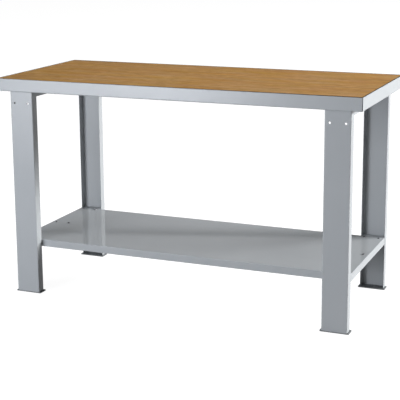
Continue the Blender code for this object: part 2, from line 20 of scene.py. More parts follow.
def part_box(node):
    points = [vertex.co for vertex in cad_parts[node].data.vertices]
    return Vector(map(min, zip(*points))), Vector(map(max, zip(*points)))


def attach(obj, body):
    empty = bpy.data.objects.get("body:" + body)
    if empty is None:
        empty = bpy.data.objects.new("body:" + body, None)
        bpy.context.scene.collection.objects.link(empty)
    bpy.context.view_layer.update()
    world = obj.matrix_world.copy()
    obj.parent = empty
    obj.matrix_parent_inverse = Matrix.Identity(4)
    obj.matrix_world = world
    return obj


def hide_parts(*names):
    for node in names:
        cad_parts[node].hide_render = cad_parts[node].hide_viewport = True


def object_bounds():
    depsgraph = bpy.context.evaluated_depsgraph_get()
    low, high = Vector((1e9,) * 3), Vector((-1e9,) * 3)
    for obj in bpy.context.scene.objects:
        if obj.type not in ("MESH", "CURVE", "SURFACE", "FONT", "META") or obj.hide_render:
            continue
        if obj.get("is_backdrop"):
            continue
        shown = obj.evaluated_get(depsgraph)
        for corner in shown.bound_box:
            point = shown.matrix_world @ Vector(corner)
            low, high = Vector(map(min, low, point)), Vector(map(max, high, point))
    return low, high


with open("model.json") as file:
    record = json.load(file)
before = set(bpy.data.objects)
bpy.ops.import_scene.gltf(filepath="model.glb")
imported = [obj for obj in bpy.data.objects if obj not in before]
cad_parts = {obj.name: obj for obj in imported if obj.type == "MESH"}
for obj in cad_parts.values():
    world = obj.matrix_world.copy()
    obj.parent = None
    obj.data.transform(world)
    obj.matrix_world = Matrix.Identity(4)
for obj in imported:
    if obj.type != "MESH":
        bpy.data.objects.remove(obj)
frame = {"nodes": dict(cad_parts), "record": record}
nodes = frame["nodes"]
CAD_LOW, CAD_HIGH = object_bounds()
MM = 0.001
print("solids:", len(nodes), "size in mm:", [round(side / MM, 1) for side in CAD_HIGH - CAD_LOW])

# %% [markdown]
# ## Helpers
#
# Colours are picked on a screen as sRGB hex values, but shaders reckon in linear light. One function turns
# the one into the other, so that a colour is only ever written as hex. A second function adds a node to a
# tree with its settings and its links, because every material and every Geometry Nodes tree below is built
# that way. Two more start a material and feed its shader. A Mix node has a pair of sockets for each kind of
# value, so its numbers are inputs 2 and 3, and its colours are inputs 6 and 7 and output 2.

# %% Colour and node helpers
def linear(code):
    """An sRGB hex colour such as "a0b0c0" as linear red, green, blue and alpha."""
    parts = [int(code[at:at + 2], 16) / 255 for at in (0, 2, 4)]
    return tuple(c / 12.92 if c <= 0.04045 else ((c + 0.055) / 1.055) ** 2.4 for c in parts) + (1,)


def add(tree, kind, inputs=None, **settings):
    """Adds a node. A socket, by name or number, gets a value, an output, or a node for its first output."""
    node = tree.nodes.new(kind)
    for name, value in settings.items():
        setattr(node, name, value)
    for name, value in (inputs or {}).items():
        if isinstance(value, bpy.types.Node):
            value = value.outputs[0]
        if isinstance(value, bpy.types.NodeSocket):
            tree.links.new(value, node.inputs[name])
        else:
            node.inputs[name].default_value = value
    return node


def new_material(name):
    """A material with an empty Principled shader, and its tree and shader."""
    material = bpy.data.materials.new(name)
    material.use_nodes = True
    tree = material.node_tree
    tree.nodes.clear()
    shader = tree.nodes.new("ShaderNodeBsdfPrincipled")
    output = tree.nodes.new("ShaderNodeOutputMaterial")
    tree.links.new(shader.outputs["BSDF"], output.inputs["Surface"])
    return material, tree, shader


def link(tree, source, shader, name):
    """Feeds one of the shader's sockets from an output, or from a node's first output."""
    output = source.outputs[0] if isinstance(source, bpy.types.Node) else source
    tree.links.new(output, shader.inputs[name])


bpy.context.scene.view_settings.view_transform = "Standard"
print("white is", linear("ffffff")[0], "and mid grey", round(linear("808080")[0], 3))

# %% [markdown]
# ## The camera
#
# The photograph was taken with a long lens from the right of the bench, a little above the worktop. Its
# place was worked out by matching the straight edges of the solids to the straight edges of the photograph.
# The upright edges stay nearly parallel, which a photographer gets by raising the lens on the camera's
# back. Most of that is a small turn of the camera here, and the rest is a small vertical shift, so that
# other views stay well framed.

# %% The camera
IMAGE_SIDE = 400
FOCAL_PIXELS = 1133.42
CAMERA_PLACE = (1.72436, -4.15125, 1.50037)
CAMERA_YAW, CAMERA_PITCH, CAMERA_ROLL = (math.radians(angle) for angle in (22.58, 11.95, -0.38))
SENSOR_SIDE = 36  # in mm, as the lens is
LENS_SHIFT = -0.1
FARTHEST = 100

camera_data = bpy.data.cameras.new("studio_camera")
camera_data.sensor_width = SENSOR_SIDE
camera_data.lens = FOCAL_PIXELS / IMAGE_SIDE * SENSOR_SIDE
camera_data.shift_y = LENS_SHIFT
camera_data.clip_end = FARTHEST
camera = bpy.data.objects.new("studio_camera", camera_data)
bpy.context.scene.collection.objects.link(camera)
turn = (Matrix.Rotation(CAMERA_YAW, 4, "Z") @ Matrix.Rotation(math.radians(90) - CAMERA_PITCH, 4, "X")
        @ Matrix.Rotation(CAMERA_ROLL, 4, "Z"))
camera.matrix_world = Matrix.Translation(CAMERA_PLACE) @ turn
bpy.context.scene.camera = camera
print("lens", round(camera_data.lens, 1), "mm")

# %% [markdown]
# ## The floor
#
# The bench stands in a white studio. The floor is a plain pale sheet that takes the bench's shadow. A
# little emission lifts what the camera sees of it to white, and glossy rays meet half as much. No other ray
# meets it, so the floor lights the bench from below only as much as a pale floor would.

# %% Floor
FLOOR_LIFT = 0.94
FLOOR_GLOSS = 0.5
FLOOR_SIDE = 60
FLOOR_DROP = 0.2 * MM

mesh = bpy.data.meshes.new("studio_floor")
signs = ((-1, -1), (1, -1), (1, 1), (-1, 1))
corners = [(x * FLOOR_SIDE / 2, y * FLOOR_SIDE / 2, -FLOOR_DROP) for x, y in signs]
mesh.from_pydata(corners, [], [(0, 1, 2, 3)])
floor = bpy.data.objects.new("studio_floor", mesh)
bpy.context.scene.collection.objects.link(floor)
paper = bpy.data.materials.new("matt white studio paper")
paper.use_nodes = True
tree = paper.node_tree
tree.nodes.clear()
rays = add(tree, "ShaderNodeLightPath").outputs
seen = add(tree, "ShaderNodeMath", {0: rays["Is Camera Ray"], 1: rays["Is Transmission Ray"]},
           operation="MAXIMUM")
direct = add(tree, "ShaderNodeMath", {0: seen, 1: FLOOR_LIFT}, operation="MULTIPLY")
mirrored = add(tree, "ShaderNodeMath", {0: rays["Is Glossy Ray"], 1: FLOOR_GLOSS}, operation="MULTIPLY")
lift = add(tree, "ShaderNodeMath", {0: direct, 1: mirrored}, operation="ADD")
matt = add(tree, "ShaderNodeBsdfDiffuse", {"Color": linear("848484")})
glow = add(tree, "ShaderNodeEmission", {"Color": linear("ffffff"), "Strength": lift})
both = add(tree, "ShaderNodeAddShader", {0: matt, 1: glow})
add(tree, "ShaderNodeOutputMaterial", {"Surface": both})
mesh.materials.append(paper)
floor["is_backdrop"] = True
print("floor", FLOOR_SIDE, "m wide, emission", FLOOR_LIFT)

# %% [markdown]
# ## The background
#
# The background is the world. The camera sees plain white there, and diffuse rays a dim even light. Glossy
# rays see a pale grey studio wall, because the smooth shelf mirrors it: a little dimmer to both sides, with
# a thin dark line that runs level across it. A ray's rise over its run towards the wall says how high up
# the wall it would land, so the mirrored line stays straight.

# %% Background
AMBIENT = 0.12
TOWARDS_WALL = (-0.31, 0.951, 0)
WALL = "aeb0b3"
LINE = "202020"
LINE_RISE = (0.2766, 0.2787, 0.2819, 0.284)  # where the line begins, is full, is full no more and ends
WALL_SPAN = (-0.52, -0.2)  # where the change to both sides begins and ends, as a ray's x
SIDE_STOPS = [(0.0, "b8b8b8"), (0.42, "ffffff"), (0.6, "ffffff"), (0.9, "e0e0e0")]


def fill_ramp(ramp, stops):
    """Gives a colour ramp its stops, each a position and a colour."""
    elements = ramp.color_ramp.elements
    elements[0].position, elements[0].color = stops[0][0], linear(stops[0][1])
    elements[1].position, elements[1].color = stops[-1][0], linear(stops[-1][1])
    for at, code in stops[1:-1]:
        elements.new(at).color = linear(code)


world = bpy.data.worlds.new("white studio")
bpy.context.scene.world = world
world.use_nodes = True
tree = world.node_tree
tree.nodes.clear()
rays = add(tree, "ShaderNodeLightPath").outputs
way = add(tree, "ShaderNodeTexCoord").outputs["Generated"]
across, _, rise = add(tree, "ShaderNodeSeparateXYZ", {"Vector": way}).outputs
run = add(tree, "ShaderNodeVectorMath", {0: way, 1: TOWARDS_WALL}, operation="DOT_PRODUCT")
on_wall = add(tree, "ShaderNodeMath", {0: rise, 1: run.outputs["Value"]}, operation="DIVIDE")
upward = add(tree, "ShaderNodeValToRGB", {"Fac": on_wall})
fill_ramp(upward, [(0.0, WALL), *zip(LINE_RISE, (WALL, LINE, LINE, WALL))])
sideways = add(tree, "ShaderNodeMapRange", {"Value": across, "From Min": WALL_SPAN[0],
                                            "From Max": WALL_SPAN[1]})
falloff = add(tree, "ShaderNodeValToRGB", {"Fac": sideways})
fill_ramp(falloff, SIDE_STOPS)
wall = add(tree, "ShaderNodeMix", {0: 1.0, 6: upward, 7: falloff}, data_type="RGBA", blend_type="MULTIPLY")
direct = add(tree, "ShaderNodeMath", {0: rays["Is Camera Ray"], 1: rays["Is Transmission Ray"]},
             operation="MAXIMUM")
seen = add(tree, "ShaderNodeMath", {0: direct, 1: rays["Is Glossy Ray"]}, operation="MAXIMUM")
tint = add(tree, "ShaderNodeMix", {0: rays["Is Glossy Ray"], 6: linear("ffffff"), 7: wall.outputs[2]},
           data_type="RGBA")
level = add(tree, "ShaderNodeMapRange", {"Value": seen, "To Min": AMBIENT, "To Max": 1.0})
sky = add(tree, "ShaderNodeBackground", {"Color": tint.outputs[2], "Strength": level})
add(tree, "ShaderNodeOutputWorld", {"Surface": sky})
print("ambient light", AMBIENT)

# %% [markdown]
# ## The lamps
#
# Six softboxes light the bench. A wide low one behind it on the right makes the right-hand faces the
# brightest and leaves the underside of the worktop dark. Two small low ones in front on the left put a soft
# sheen on the front rail, with a wide one behind them that fills the front, and one overhead lights the
# wood. The last one is low on the left and further back than the bench, so that it lights the left-hand
# faces and hardly the front ones. The wide one lies in the shelf like a white patch when it is seen from
# behind the bench, so it is hidden from glossy rays, and the left one is hidden from them as well.

# %% Lamps
def softbox(name, place, target, width, height, watts, colour="ffffff", mirrored=True):
    """A rectangular lamp that faces its target. Where mirrored is false, glossy rays don't meet it."""
    light = bpy.data.lights.new(name, "AREA")
    light.shape = "RECTANGLE"
    light.size, light.size_y, light.energy = width, height, watts
    light.color = linear(colour)[:3]
    lamp = bpy.data.objects.new(name, light)
    bpy.context.scene.collection.objects.link(lamp)
    lamp.location = place
    beam = Vector(target) - Vector(place)
    lamp.rotation_euler = beam.to_track_quat("-Z", "Y").to_euler()
    lamp.visible_camera = False
    lamp.visible_glossy = mirrored
    print(name, watts, "W at", round(beam.length, 2), "m")


softbox("softbox_right_rear", (12.2, 5.43, 4.66), (0, 0, 0.45), 9.4, 1.9, 3600)
softbox("softbox_front_left_low", (-1.9, -3.55, 0.7), (-0.2, -0.33, 0.75), 1.6, 1.2, 49, "f6f9ff")
softbox("softbox_front_middle_low", (-1.25, -3.6, 0.7), (0.05, -0.33, 0.75), 0.9, 1.1, 23, "f4f7ff")
softbox("softbox_front_left_wide", (-2.2, -5.6, 2.2), (0, -0.3, 0.6), 3.0, 2.2, 104, "fafbff",
        mirrored=False)
softbox("softbox_overhead", (1.1, 0.1, 3.3), (0.4, 0, 0.8), 3.0, 2.0, 27)
softbox("softbox_left_low", (-6.0, 1.2, 0.35), (0, 0.2, 0.45), 1.8, 0.6, 200, mirrored=False)

# %% [markdown]
# ## Powder-coated steel
#
# The rim, the legs and the shelf are sheet steel with a light grey powder coat. Powder is sprayed on dry
# and baked, so it melts into a skin about 0.08 mm thick. That skin gives the eye a soft even grey with a
# faint sheen. Near to it has a fine dimpled "orange peel" about 2 mm across, which breaks up reflections.
# Its colour is never quite even either, and it draws back from sharp edges, where it looks a little paler.
# That paler colour on the edges is also a painted highlight.
#
# The dimples come from a noise texture on Object coordinates, which are metres on these pieces, so the
# scale is one over the size of a dimple. The paler edges read the attribute pale_edge_and_highlight of the
# softened pieces. Three finishes differ. The shelf lies face up in the oven, where the melt runs level, so
# its top face is nearly a mirror and the rest of it is not. The rim is mitred, and a thin dark line runs down
# each
# corner: some dust in the joint, and painted shade in the seam. The foot plates are painted darker than the
# legs, as painted shade near the floor, and their skin is duller.

# %% Powder coat
PEEL_SIZE, PEEL_DEPTH = 2.0 * MM, 0.1 * MM
CLOUD_SIZE = 260 * MM
CLOUD_RANGE = (0.35, 0.65)
GLOSS_SPREAD = 0.15
MITRE_WIDTH = 3.2 * MM
FACE_FADE = (0.6 * MM, 0.2 * MM)


def corner_dust_and_shade(tree, place):
    """1 along the four upright corners of the rim, which fades to 0 at MITRE_WIDTH from them."""
    spot = add(tree, "ShaderNodeSeparateXYZ", {"Vector": place}).outputs
    near = []
    for axis, reach in (("X", CAD_HIGH.x), ("Y", CAD_HIGH.y)):
        out = add(tree, "ShaderNodeMath", {0: spot[axis]}, operation="ABSOLUTE")
        near.append(add(tree, "ShaderNodeMapRange", {"Value": out, "From Min": reach - MITRE_WIDTH,
                                                     "From Max": reach - MITRE_WIDTH / 2}))
    return add(tree, "ShaderNodeMath", {0: near[0], 1: near[1]}, operation="MULTIPLY")


def powder_coat(name, colour, cloud_colour, pale_edge_and_highlight_colour, roughness, peel, specular=0.5, mitre=None,
                face=None):
    """A clouded colour, paler on the eased edges (thinner powder and a painted highlight), with a thin dark
    line down the rim's corners where mitre is given (some dust and painted shade), under a dimpled skin that
    may be smooth above a height.
    """
    material, tree, shader = new_material(name)
    place = add(tree, "ShaderNodeTexCoord").outputs["Object"]
    cloud = add(tree, "ShaderNodeTexNoise", {"Vector": place, "Scale": 1 / CLOUD_SIZE, "Detail": 2.0})
    soft = add(tree, "ShaderNodeMapRange",
               {"Value": cloud, "From Min": CLOUD_RANGE[0], "From Max": CLOUD_RANGE[1]})
    coat = add(tree, "ShaderNodeMix", {0: soft, 6: linear(colour), 7: linear(cloud_colour)},
               data_type="RGBA")
    # Paler on the eased edges: thinner powder, and a painted highlight.
    edge = add(tree, "ShaderNodeAttribute", attribute_name="pale_edge_and_highlight").outputs["Fac"]
    skin = add(tree, "ShaderNodeMix", {0: edge, 6: coat.outputs[2], 7: linear(pale_edge_and_highlight_colour)},
               data_type="RGBA")
    if mitre:
        # The rim's dark corner line: some dust in the joint, and painted shade in the seam.
        line = corner_dust_and_shade(tree, place)
        skin = add(tree, "ShaderNodeMix", {0: line, 6: skin.outputs[2], 7: linear(mitre)},
                   data_type="RGBA")
    link(tree, skin.outputs[2], shader, "Base Color")
    dimples = add(tree, "ShaderNodeTexNoise", {"Vector": place, "Scale": 1 / PEEL_SIZE, "Detail": 1.0})
    gloss = add(tree, "ShaderNodeMapRange", {"Value": cloud, "To Min": (1 - GLOSS_SPREAD) * roughness,
                                             "To Max": (1 + GLOSS_SPREAD) * roughness})
    bump = add(tree, "ShaderNodeBump", {"Height": dimples, "Strength": peel, "Distance": PEEL_DEPTH})
    if face:
        height, smooth_roughness, smooth_peel = face
        level = add(tree, "ShaderNodeSeparateXYZ", {"Vector": place}).outputs["Z"]
        on_face = add(tree, "ShaderNodeMapRange", {"Value": level, "From Min": height - FACE_FADE[0],
                                                   "From Max": height - FACE_FADE[1]})
        depth = add(tree, "ShaderNodeMix", {0: on_face, 2: peel, 3: smooth_peel})
        gloss = add(tree, "ShaderNodeMix", {0: on_face, 2: gloss, 3: smooth_roughness})
        link(tree, depth, bump, "Strength")
    link(tree, bump, shader, "Normal")
    link(tree, gloss, shader, "Roughness")
    shader.inputs["Specular IOR Level"].default_value = specular
    return material


print("clouds", CLOUD_SIZE / MM, "mm across, mitre line", MITRE_WIDTH / MM, "mm wide")

# %% The paints
SMOOTH_ROUGHNESS, SMOOTH_PEEL = 0.02, 0.01
FRAME_COAT = {"colour": "a9adb0", "cloud_colour": "acb0b3", "pale_edge_and_highlight_colour": "b6babd", "roughness": 0.25,
              "peel": 0.25, "specular": 0.4}
frame_paint = powder_coat("light grey powder-coated steel", **FRAME_COAT)
# Its corners get a thin dark line: some dust in the joint, and painted shade in the seam.
rim_paint = powder_coat("light grey powder-coated steel, mitred", **FRAME_COAT, mitre="505356")
# Smooth where it faces up, a mirror for what stands behind it. Its lips and underside are as the frame.
shelf_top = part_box("shelf_tray")[1].z
shelf_paint = powder_coat("smooth light grey powder-coated steel", "a8acaf", "abafb2", "b5b9bc",
                          roughness=0.25, peel=0.25, face=(shelf_top, SMOOTH_ROUGHNESS, SMOOTH_PEEL))
# Painted darker than the legs, as painted shade near the floor and round the legs' feet. Its skin is duller,
# with paler edges, partly a painted highlight.
foot_paint = powder_coat("darker grey powder-coated steel, painted shade", "5f6264", "6a6d6f", "85888a",
                         roughness=0.5, peel=0.3)
print("dimples", PEEL_SIZE / MM, "mm across, smooth face of the shelf at", round(shelf_top / MM, 1), "mm")

# %% [markdown]
# ## The wooden board
#
# The worktop is a hardwood-faced panel, oiled to a golden brown. Its face shows long soft streaks where the
# veneer runs through the growth rings, a short lively figure between them, and the dark flecks of the
# pores, all along the bench. The oil leaves it matt, so it has hardly any reflection even at a low angle.
#
# Three noises stretched along X make the streaks, the figure and the flecks. Real pores are 0.1 mm wide,
# too fine for a picture of the whole bench, so they are drawn about ten times as wide as they are. A fourth
# noise drifts the hue between honey and a redder brown with one of its colour channels, and the richness
# with another, as both do from sheet to sheet of the veneer.

# %% Oiled wood
STREAK_LENGTH, STREAK_WIDTH = 420 * MM, 26 * MM
FIGURE_LENGTH, FIGURE_WIDTH = 44 * MM, 11 * MM
PORE_LENGTH, PORE_WIDTH = 26 * MM, 1.3 * MM
DRIFT_LENGTH, DRIFT_WIDTH = 200 * MM, 55 * MM
HUE_DRIFT, RICHNESS_DRIFT = 0.0055, 0.07
DRIFT_RANGE = (0.3, 0.7)
PANEL_LAYER = 50 * MM
STREAK_LOOK = {"Detail": 5.0, "Roughness": 0.62, "Distortion": 0.35}
FIGURE_LOOK = {"Detail": 2.0, "Roughness": 0.5, "Distortion": 0.3}
FIGURE_SHARE = 0.55
TONE_STOPS = [(0.35, "976f3d"), (0.5, "ab824c"), (0.65, "bd925c")]
FLECK_RANGE, FLECK_SHADE = (0.54, 0.68), 0.5
PORE_BUMP, PORE_DEPTH = 0.12, 0.2 * MM
OIL_ROUGHNESS, OIL_SPECULAR = 0.7, 0.1


def along_grain(tree, place, length, width, **look):
    """A noise whose spots are so long along the bench and so wide across it."""
    scale = (1 / length, 1 / width, 1 / PANEL_LAYER)
    stretched = add(tree, "ShaderNodeMapping", {"Vector": place, "Scale": scale})
    return add(tree, "ShaderNodeTexNoise", {"Vector": stretched, "Scale": 1.0, **look})


wood, tree, shader = new_material("oiled hardwood-faced panel")
place = add(tree, "ShaderNodeTexCoord").outputs["Object"]
streaks = along_grain(tree, place, STREAK_LENGTH, STREAK_WIDTH, **STREAK_LOOK)
figure = along_grain(tree, place, FIGURE_LENGTH, FIGURE_WIDTH, **FIGURE_LOOK)
pores = along_grain(tree, place, PORE_LENGTH, PORE_WIDTH, Detail=2.0)
blend = add(tree, "ShaderNodeMix", {0: FIGURE_SHARE, 2: streaks, 3: figure})
tone = add(tree, "ShaderNodeValToRGB", {"Fac": blend})
fill_ramp(tone, TONE_STOPS)
drift = along_grain(tree, place, DRIFT_LENGTH, DRIFT_WIDTH, Detail=2.0).outputs["Color"]
redder, richer, _ = add(tree, "ShaderNodeSeparateXYZ", {"Vector": drift}).outputs
low, high = DRIFT_RANGE
hue = add(tree, "ShaderNodeMapRange", {"Value": redder, "From Min": low, "From Max": high,
                                       "To Min": 0.5 - HUE_DRIFT, "To Max": 0.5 + HUE_DRIFT})
richness = add(tree, "ShaderNodeMapRange", {"Value": richer, "From Min": low, "From Max": high,
                                            "To Min": 1 - RICHNESS_DRIFT, "To Max": 1 + RICHNESS_DRIFT})
veneer = add(tree, "ShaderNodeHueSaturation", {"Hue": hue, "Saturation": richness, "Color": tone})
fleck = add(tree, "ShaderNodeMapRange", {"Value": pores, "From Min": FLECK_RANGE[0],
                                         "From Max": FLECK_RANGE[1], "To Max": FLECK_SHADE})
grain = add(tree, "ShaderNodeMix", {0: fleck, 6: veneer, 7: linear("78582a")}, data_type="RGBA")
bump = add(tree, "ShaderNodeBump", {"Height": pores, "Strength": PORE_BUMP, "Distance": PORE_DEPTH})
link(tree, bump, shader, "Normal")
shader.inputs["Roughness"].default_value = OIL_ROUGHNESS
shader.inputs["Specular IOR Level"].default_value = OIL_SPECULAR
print("streaks", STREAK_LENGTH / MM, "mm long, figure", FIGURE_LENGTH / MM, "mm long")

# %% [markdown]
# ### Painted shade at the edges of the wood
#
# Where the board meets the steel, the seam lies in shade. That shade is painted into the wood: a narrow
# dark border all round, and along the front edge a dark wedge that grows towards the right-hand corner.
# Both are read off the board's own box: how far a point is from an edge, against how wide the dark is
# there.

# %% Painted shade along the seam
SEAM_WIDTH, SHADE_WEDGE_WIDTH = 4 * MM, 19 * MM
SHADE_WEDGE_CORE = 0.8  # the share of its width within which the wedge is fully dark
board_low, board_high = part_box("worktop_board")
spot = add(tree, "ShaderNodeSeparateXYZ", {"Vector": place}).outputs
seam_shade = 0.0
for axis, reach in (("X", board_high.x), ("Y", board_high.y)):
    out = add(tree, "ShaderNodeMath", {0: spot[axis]}, operation="ABSOLUTE")
    seam = add(tree, "ShaderNodeMapRange", {"Value": out, "From Min": reach - SEAM_WIDTH,
                                            "From Max": reach - SEAM_WIDTH / 2})
    seam_shade = add(tree, "ShaderNodeMath", {0: seam, 1: seam_shade}, operation="MAXIMUM")
inwards = add(tree, "ShaderNodeMath", {0: spot["Y"], 1: board_low.y}, operation="SUBTRACT")
spread = add(tree, "ShaderNodeMapRange", {"Value": spot["X"], "From Min": board_low.x / 2,
                                          "From Max": board_high.x, "To Min": SEAM_WIDTH,
                                          "To Max": SHADE_WEDGE_WIDTH})
share = add(tree, "ShaderNodeMath", {0: inwards, 1: spread}, operation="DIVIDE")
wedge = add(tree, "ShaderNodeMapRange", {"Value": share, "From Min": 1.0, "From Max": SHADE_WEDGE_CORE})
seam_shade = add(tree, "ShaderNodeMath", {0: wedge, 1: seam_shade}, operation="MAXIMUM")
# The dark colour here is painted shade of the seam and of the board's front edge.
seam_shaded = add(tree, "ShaderNodeMix", {0: seam_shade, 6: grain.outputs[2], 7: linear("3a3020")}, data_type="RGBA")
link(tree, seam_shaded.outputs[2], shader, "Base Color")
print("seam", SEAM_WIDTH / MM, "mm wide, stain up to", SHADE_WEDGE_WIDTH / MM, "mm")

# %% [markdown]
# ## Plated and blackened steel
#
# The bolts, the nuts and the board's screws are zinc-plated, which gives a cool even shine. The shelf's
# screws are blackened, an oxide skin so thin that it leaves the metal a dull dark grey. Both are metal all
# through, so Metallic is 1 and the IOR stays as it is. The crystals of the plating are far too fine to
# show, so a noise a few millimetres wide stands for the uneven shine that they give.

# %% Plated and blackened steel
PATCH_SPREAD = 0.08


def plated(name, colour, stain, roughness, grit):
    """Bare or plated metal: the plating's grain in its roughness, and a faint stain in its colour."""
    material, tree, shader = new_material(name)
    place = add(tree, "ShaderNodeTexCoord").outputs["Object"]
    patches = add(tree, "ShaderNodeTexNoise", {"Vector": place, "Scale": 1 / grit, "Detail": 3.0})
    tint = add(tree, "ShaderNodeMix", {0: patches, 6: linear(colour), 7: linear(stain)}, data_type="RGBA")
    link(tree, tint.outputs[2], shader, "Base Color")
    gloss = add(tree, "ShaderNodeMapRange",
                {"Value": patches, "To Min": roughness - PATCH_SPREAD, "To Max": roughness + PATCH_SPREAD})
    link(tree, gloss, shader, "Roughness")
    shader.inputs["Metallic"].default_value = 1.0
    return material


zinc = plated("zinc-plated steel", "c6c8c8", "b2b4b0", roughness=0.32, grit=3 * MM)
blackened = plated("blackened steel", "85868a", "6a6b6f", roughness=0.42, grit=2 * MM)
print("metals:", zinc.name, "and", blackened.name)

# %% [markdown]
# ## Finish every node
#
# Each solid gets the finish of its slot in the record. Every solid is replaced by a finer piece below, but
# it keeps the right finish all the same.

# %% Finish every node
slots = {part["node"]: part["material_slot"] for part in frame["record"]["subparts"]}
finishes = {
    "board_wood": wood, "rim_paint": rim_paint, "leg_paint": frame_paint, "shelf_paint": shelf_paint,
    "foot_paint": foot_paint, "bolt_zinc": zinc, "screw_zinc": zinc, "screw_black": blackened,
}
for name, node in nodes.items():
    node.data.materials.clear()
    node.data.materials.append(finishes[slots[name]])
print("finished", len(nodes), "nodes")

# %% [markdown]
# ## Softened sheet
#
# A sheet that is cut and folded has no knife edges: each cut edge is eased by the deburring and then
# rounded again by the powder. Without that rounding an edge has no highlight and the piece looks like
# paper. A copy of each solid gets it here, so the solid itself stays as it was made. Its loose triangles
# are merged first, the flat ones are joined into whole faces, and then a small bevel runs along each sharp
# edge. The bevel's faces get the attribute pale_edge_and_highlight, which the paint reads to make them
# paler, as thinner powder and a painted highlight, and any face that the bevel leaves without area is
# dissolved. A Weighted Normal modifier keeps the big flat faces flat under smooth shading, so that the
# light rolls round the bends and the eased edges alone.

# %% Soften the edges of a copy
SHARP = math.radians(32)
FLAT = math.radians(0.2)
MERGE = 0.001 * MM
EASING_STEPS = 2
FACE_WEIGHT = 100


def softened(node, width):
    """A piece with the solid's shape and its sharp edges rounded. It stands for the solid."""
    shape = bmesh.new()
    shape.from_mesh(nodes[node].data)
    bmesh.ops.remove_doubles(shape, verts=shape.verts, dist=MERGE)
    bmesh.ops.dissolve_limit(shape, angle_limit=FLAT, verts=shape.verts, edges=shape.edges)
    # Marks the bevel's faces, which the paint makes paler: thinner powder and a painted highlight.
    layer = shape.faces.layers.float.new("pale_edge_and_highlight")
    sharp = [e for e in shape.edges if len(e.link_faces) == 2 and e.calc_face_angle(0) > SHARP]
    made = bmesh.ops.bevel(shape, geom=sharp, offset=width, offset_type="OFFSET", segments=EASING_STEPS,
                           profile=0.5, affect="EDGES", clamp_overlap=False)
    for face in shape.faces:
        face.smooth = True
    for face in made["faces"]:
        if face.is_valid:
            face[layer] = 1.0
    bmesh.ops.dissolve_degenerate(shape, dist=MERGE, edges=shape.edges)
    mesh = bpy.data.meshes.new(node + "_eased")
    shape.to_mesh(mesh)
    shape.free()
    mesh.materials.append(finishes[slots[node]])
    piece = bpy.data.objects.new(node + "_eased", mesh)
    bpy.context.scene.collection.objects.link(piece)
    weighted = piece.modifiers.new("flat faces stay flat", "WEIGHTED_NORMAL")
    weighted.weight = FACE_WEIGHT
    depsgraph = bpy.context.evaluated_depsgraph_get()
    piece.data = bpy.data.meshes.new_from_object(piece.evaluated_get(depsgraph))
    piece.data.name = piece.name
    piece.modifiers.clear()
    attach(piece, "root")
    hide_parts(node)
    return piece


EASED = {
    "rim_": 0.5 * MM, "leg_": 0.4 * MM, "foot_": 0.6 * MM, "worktop_cross": 0.35 * MM,
    "top_bearer": 0.4 * MM, "shelf_bearer": 0.4 * MM, "shelf_tray": 0.4 * MM,
    "shelf_stiffener": 0.35 * MM, "worktop_board": 0.8 * MM,
}
eased = {}
for node in nodes:
    for start, width in EASED.items():
        if node.startswith(start):
            eased[node] = softened(node, width)
print("eased pieces:", len(eased), "with", sum(len(piece.data.polygons) for piece in eased.values()), "faces")

# %% [markdown]
# ## Fasteners
#
# Screws, bolts and nuts repeat, and each kind is one small set of sizes. So each kind is one Geometry Nodes
# tree with its sizes as named inputs. The tree gets a mesh of loose points, one for each place, which are
# read off the solids, and puts the same fastener on every point. At the end the copies are made real,
# because the export drops instances, and get their finish. A point lies in the seat, where the head meets
# what it holds.

# %% Start and finish a tree
CRISP = math.radians(35)


def start_tree(name, sizes):
    """An empty tree with the places as its geometry and one named input for each size, and these inputs."""
    tree = bpy.data.node_groups.new(name, "GeometryNodeTree")
    tree.interface.new_socket("Places", in_out="INPUT", socket_type="NodeSocketGeometry")
    for size in sizes:
        tree.interface.new_socket(size, in_out="INPUT", socket_type="NodeSocketFloat")
    tree.interface.new_socket("Pieces", in_out="OUTPUT", socket_type="NodeSocketGeometry")
    return tree, tree.nodes.new("NodeGroupInput").outputs


def finish_tree(tree, pieces, material):
    """Makes the copies real, keeps their crisp edges and smooths the rest, and sets the finish."""
    real = add(tree, "GeometryNodeRealizeInstances", {"Geometry": pieces})
    smooth = add(tree, "GeometryNodeSetShadeSmooth", {"Geometry": real, "Shade Smooth": True},
                 domain="FACE")
    angle = add(tree, "GeometryNodeInputMeshEdgeAngle").outputs["Unsigned Angle"]
    crisp = add(tree, "ShaderNodeMath", {0: angle, 1: CRISP}, operation="GREATER_THAN")
    edged = add(tree, "GeometryNodeSetShadeSmooth",
                {"Geometry": smooth, "Selection": crisp, "Shade Smooth": False}, domain="EDGE")
    finished = add(tree, "GeometryNodeSetMaterial", {"Geometry": edged, "Material": material})
    add(tree, "NodeGroupOutput", {"Pieces": finished})


print("edges over", round(math.degrees(CRISP)), "degrees stay crisp")


# %% Run a tree
def grown(name, tree, sizes, points, edges, replaced):
    """Runs a tree on a mesh of points and makes its result one plain mesh."""
    places = bpy.data.meshes.new(name + "_places")
    places.from_pydata(points, edges, [])
    holder = bpy.data.objects.new(name + "_places", places)
    bpy.context.scene.collection.objects.link(holder)
    modifier = holder.modifiers.new("tree", "NODES")
    modifier.node_group = tree
    for item in tree.interface.items_tree:
        if item.in_out == "INPUT" and item.name in sizes:
            modifier[item.identifier] = float(sizes[item.name])
    depsgraph = bpy.context.evaluated_depsgraph_get()
    mesh = bpy.data.meshes.new_from_object(holder.evaluated_get(depsgraph))
    holder.modifiers.clear()
    bpy.data.objects.remove(holder)
    piece = bpy.data.objects.new(name, mesh)
    mesh.name = name
    bpy.context.scene.collection.objects.link(piece)
    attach(piece, "root")
    if replaced:
        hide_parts(*replaced)
    print(name, "at", len(points), "points,", len(mesh.polygons), "faces")


# %% [markdown]
# ### Where the fasteners sit
#
# The solids say where each fastener is, and their boxes are enough to read it. A head that sits below what
# it holds has its seat above it, and a head on top has its seat below.

